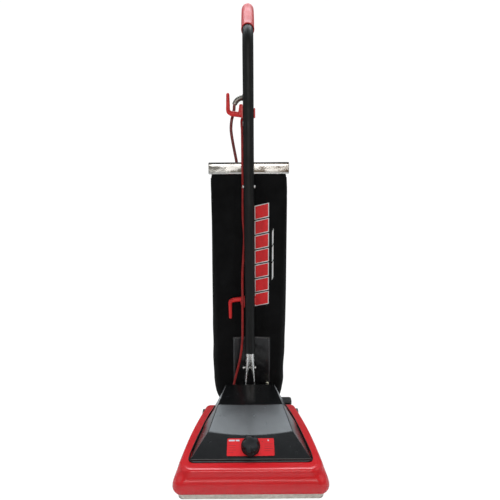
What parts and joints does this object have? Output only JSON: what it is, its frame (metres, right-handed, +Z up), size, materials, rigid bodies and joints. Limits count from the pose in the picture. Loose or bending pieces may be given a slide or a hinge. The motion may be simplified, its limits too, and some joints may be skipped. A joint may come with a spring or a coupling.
{
  "type": "upright vacuum cleaner",
  "caption": "Upright vacuum cleaner with a steel tube handle, cloth dust bag with slide-off clip, motor hood, brush roll, tilting handle, height knob and coiled supply cord.",
  "frame": {"origin": "on the floor, at the middle of the machine's own box without its supply cord", "axes": "+Z up along the handle, -Y is the front that is pushed forward, +X is to the right of a person who faces the front of the machine"},
  "size_m": [0.366, 0.7457, 1.2065],
  "materials": {
    "hood_red": "glossy moulded red",
    "cover_black": "glossy moulded black",
    "guard_pale": "soft pale bumper strip",
    "label_red": "printed label sheet",
    "black_plastic": "moulded black",
    "hook_red": "satin moulded red",
    "grip_red": "soft moulded sleeve",
    "tube_black": "satin powder coat",
    "polished_steel": "polished",
    "bright_steel": "bright zinc",
    "brass": "turned brass",
    "cast_metal": "die cast",
    "motor_steel": "pressed steel",
    "copper": "copper and varnish",
    "cord_red": "smooth cable jacket",
    "wheel_black": "moulded rubber",
    "belt_rubber": "flat belt",
    "brush_wood": "turned hardwood",
    "bristle": "nylon bristle",
    "bag_cloth": "close-woven cloth",
    "paper": "filter paper"
  },
  "bodies": {
    "base": {"base_frame": "cast_metal", "fan_housing": "cast_metal", "fan_cover": "cast_metal", "exhaust_duct": "black_plastic", "sole_plate": "bright_steel", "hood": "hood_red", "furniture_guard": "guard_pale", "motor_cover": "cover_black", "label_plate": "label_red", "cover_screws": "bright_steel", "motor_housing": "motor_steel", "stator": "copper", "carbon_brushes": "black_plastic", "motor_bearings": "bright_steel", "rear_axle": "bright_steel", "axle_caps": "bright_steel", "pivot_pin": "bright_steel", "lead_grommet": "black_plastic", "bag_clamp": "bright_steel", "clamp_screw": "brass", "brush_end_caps": "black_plastic", "drive_belt": "belt_rubber", "supply_cord": "cord_red", "cord_coil": "cord_red", "plug": "black_plastic", "bag_lower": "bag_cloth", "motor_lead_lower": "cord_red", "latch_spring": "bright_steel"},
    "handle": {"handle_fork": "polished_steel", "lower_tube": "tube_black", "upper_tube": "tube_black", "tube_bolt": "bright_steel", "fork_bolt": "bright_steel", "grip": "grip_red", "upper_hook": "hook_red", "lower_hook": "hook_red", "hook_screws": "bright_steel", "switch_housing": "black_plastic", "cord_relief": "polished_steel", "motor_lead_upper": "cord_red", "bag_upper": "bag_cloth", "paper_bag": "paper", "bag_spring": "bright_steel"},
    "bag_clip": {"bag_clip": "polished_steel"},
    "switch_rocker": {"switch_rocker": "hook_red"},
    "release_pedal": {"release_pedal": "black_plastic"},
    "brush_roll": {"brush_core": "brush_wood", "bristle_tufts": "bristle"},
    "motor_rotor": {"armature": "copper", "motor_shaft": "bright_steel", "commutator": "copper", "fan_impeller": "cast_metal"},
    "height_knob": {"height_knob": "cover_black", "knob_shaft": "bright_steel"},
    "front_carriage": {"front_carriage": "bright_steel", "front_axle": "bright_steel"},
    "front_wheel_left": {"front_wheel_left": "wheel_black"},
    "front_wheel_right": {"front_wheel_right": "wheel_black"},
    "rear_wheel_left": {"rear_wheel_left": "wheel_black"},
    "rear_wheel_right": {"rear_wheel_right": "wheel_black"}
  },
  "joints": [
    {"name": "handle_tilt", "type": "hinge", "parent": "base", "child": "handle", "pos_m": [0, 0.0915, 0.07], "axis": [-1, 0, 0], "range_deg": [0, 70], "deforming": ["bag_lower", "paper_bag", "supply_cord", "motor_lead_lower"]},
    {"name": "bag_clip_slide", "type": "slide", "parent": "handle", "child": "bag_clip", "axis": [1, 0, 0], "range_m": [0, 0.2]},
    {"name": "switch_rock", "type": "hinge", "parent": "handle", "child": "switch_rocker", "pos_m": [0, 0.1291, 0.977], "axis": [1, 0, 0], "range_deg": [0, 14]},
    {"name": "pedal_press", "type": "hinge", "parent": "base", "child": "release_pedal", "pos_m": [0, 0.064, 0.048], "axis": [-1, 0, 0], "range_deg": [0, 12], "stiffness_Nm_per_rad": 2, "springref_deg": -11.46, "deforming": ["latch_spring"]},
    {"name": "motor_spin", "type": "hinge", "parent": "base", "child": "motor_rotor", "pos_m": [-0.038, 0, 0.076], "axis": [0, 1, 0], "continuous": true},
    {"name": "brush_spin", "type": "hinge", "parent": "base", "child": "brush_roll", "pos_m": [0, -0.16, 0.03], "axis": [1, 0, 0], "continuous": true},
    {"name": "carriage_lift", "type": "hinge", "parent": "base", "child": "front_carriage", "pos_m": [0, -0.084, 0.03], "axis": [-1, 0, 0], "range_deg": [0, 15]},
    {"name": "knob_turn", "type": "hinge", "parent": "base", "child": "height_knob", "pos_m": [0, -0.14566, 0.10568], "axis": [0, -0.4864, 0.8738], "range_deg": [0, 180]},
    {"name": "front_wheel_left_spin", "type": "hinge", "parent": "front_carriage", "child": "front_wheel_left", "pos_m": [-0.052, -0.11, 0.014], "axis": [1, 0, 0], "continuous": true},
    {"name": "front_wheel_right_spin", "type": "hinge", "parent": "front_carriage", "child": "front_wheel_right", "pos_m": [0.052, -0.11, 0.014], "axis": [1, 0, 0], "continuous": true},
    {"name": "rear_wheel_left_spin", "type": "hinge", "parent": "base", "child": "rear_wheel_left", "pos_m": [-0.131, 0.0585, 0.028], "axis": [1, 0, 0], "continuous": true},
    {"name": "rear_wheel_right_spin", "type": "hinge", "parent": "base", "child": "rear_wheel_right", "pos_m": [0.131, 0.0585, 0.028], "axis": [1, 0, 0], "continuous": true}
  ],
  "couplings": [
    {"joint": "brush_spin", "follows": "motor_spin", "ratio": -0.5827},
    {"joint": "knob_turn", "follows": "carriage_lift", "ratio": 12}
  ]
}
